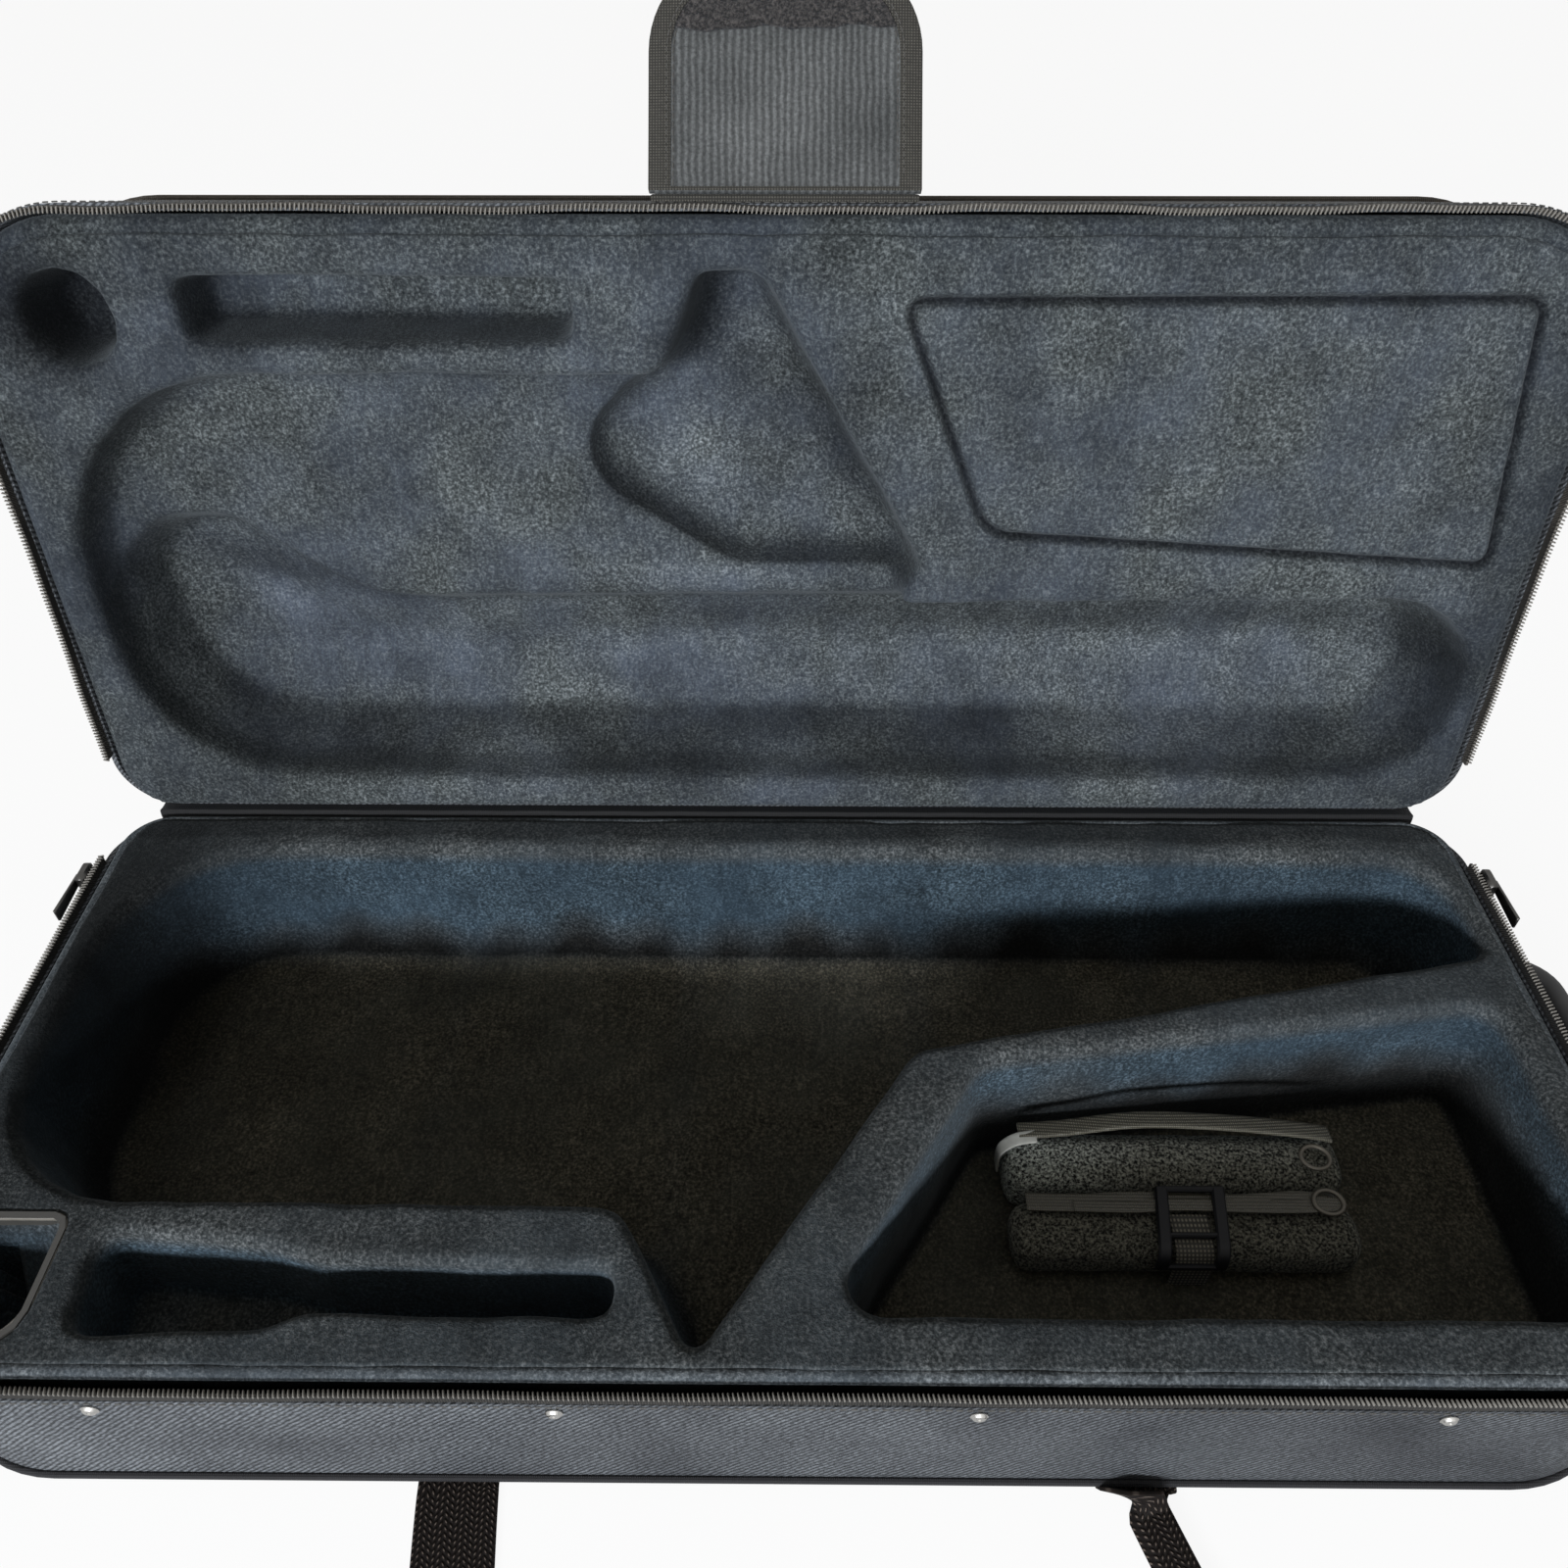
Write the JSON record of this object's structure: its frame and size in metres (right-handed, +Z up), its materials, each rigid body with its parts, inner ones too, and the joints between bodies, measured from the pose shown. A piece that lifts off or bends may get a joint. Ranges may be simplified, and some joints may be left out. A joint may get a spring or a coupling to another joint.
{
  "type": "alto saxophone case",
  "caption": "Open oblong soft-shell case: moulded plush-lined base and lid, cloth hinge, zip, fold-over flap, end handle, webbing carry loop and a folded neck strap.",
  "frame": {"origin": "centre of the base's flat underside, at the rest face", "axes": "+X along the case's length, to the right with the opening in front of the viewer; +Y from the front wall towards the hinge; +Z up"},
  "size_m": [0.6651, 0.5544, 0.4065],
  "materials": {
    "shell_twill": "matte grey twill over a stiff panel",
    "moulded_foam": "matte closed-cell foam",
    "plush_lining": "matte slate plush",
    "lining_bead": "matte woven bead",
    "zip_tape": "matte woven tape",
    "zip_teeth": "satin nylon coil",
    "piping": "matte covered cord",
    "zip_metal": "satin nickel plate",
    "rivet_metal": "polished nickel plate",
    "cup_plastic": "satin moulded plastic",
    "grip_rubber": "matte black rubber",
    "webbing": "matte woven webbing",
    "ribbed_cloth": "matte ribbed cloth",
    "binding": "matte bound tape",
    "hook_pile": "matte hook pile",
    "pad_cloth": "matte nubby cloth",
    "strap_band": "satin woven band",
    "strap_plastic": "satin black plastic"
  },
  "bodies": {
    "base": {"base_shell": "shell_twill", "base_foam": "moulded_foam", "base_lining": "plush_lining", "base_rim_bead": "lining_bead", "base_piping": "piping", "base_zip_tape": "zip_tape", "base_zip_teeth": "zip_teeth", "base_accessory_cup": "cup_plastic", "front_rivet_1": "rivet_metal", "front_rivet_2": "rivet_metal", "front_rivet_3": "rivet_metal", "front_rivet_4": "rivet_metal", "hinge_cloth": "shell_twill", "end_handle_grip": "grip_rubber", "end_handle_patch_rear": "webbing", "end_handle_patch_front": "webbing", "carry_strap_root_left": "webbing", "carry_strap_root_right": "webbing"},
    "lid": {"lid_shell": "shell_twill", "lid_foam": "moulded_foam", "lid_lining": "plush_lining", "lid_rim_bead": "lining_bead", "lid_piping": "piping", "lid_zip_tape": "zip_tape", "lid_zip_teeth": "zip_teeth", "flap_seam_strip": "ribbed_cloth"},
    "flap": {"flap_panel": "ribbed_cloth", "flap_binding": "binding", "flap_hook_patch": "hook_pile"},
    "left_slider": {"zip_slider_left": "zip_metal"},
    "left_pull": {"zip_pull_left": "zip_metal"},
    "right_slider": {"zip_slider_right": "zip_metal"},
    "right_pull": {"zip_pull_right": "zip_metal"},
    "carry_loop": {"carry_strap": "webbing"},
    "strap_bundle": {"strap_pad_rear": "pad_cloth", "strap_pad_front": "pad_cloth", "strap_webbing_rear": "strap_band", "strap_webbing_front": "strap_band", "strap_keeper": "webbing", "strap_tri_glide": "strap_plastic", "strap_ring_front": "zip_metal", "strap_ring_rear": "zip_metal"}
  },
  "joints": [
    {"name": "lid_hinge", "type": "hinge", "parent": "base", "child": "lid", "pos_m": [0, 0.1325, 0.0784], "axis": [-1, 0, 0], "range_deg": [-98, 0], "deforming": ["hinge_cloth"]},
    {"name": "flap_fold", "type": "hinge", "parent": "lid", "child": "flap", "pos_m": [0, 0.17765, 0.34289], "axis": [1, 0, 0], "range_deg": [0, 125]},
    {"name": "left_slider_travel", "type": "slide", "parent": "base", "child": "left_slider", "axis": [0, -1, 0], "range_m": [0, 0.15]},
    {"name": "left_pull_swing", "type": "hinge", "parent": "left_slider", "child": "left_pull", "pos_m": [-0.3219, 0.0945, 0.07325], "axis": [0, 0, -1], "range_deg": [0, 170]},
    {"name": "right_slider_travel", "type": "slide", "parent": "base", "child": "right_slider", "axis": [0, -1, 0], "range_m": [0, 0.15]},
    {"name": "right_pull_swing", "type": "hinge", "parent": "right_slider", "child": "right_pull", "pos_m": [0.3219, 0.0945, 0.07325], "axis": [0, 0, 1], "range_deg": [0, 170]},
    {"name": "carry_strap_lift", "type": "hinge", "parent": "base", "child": "carry_loop", "pos_m": [0, -0.13494, 0.0019], "axis": [-1, 0, 0], "range_deg": [0, 90]},
    {"name": "strap_bundle_lift", "type": "slide", "parent": "base", "child": "strap_bundle", "axis": [0, 0, 1], "range_m": [0, 0.12]}
  ]
}
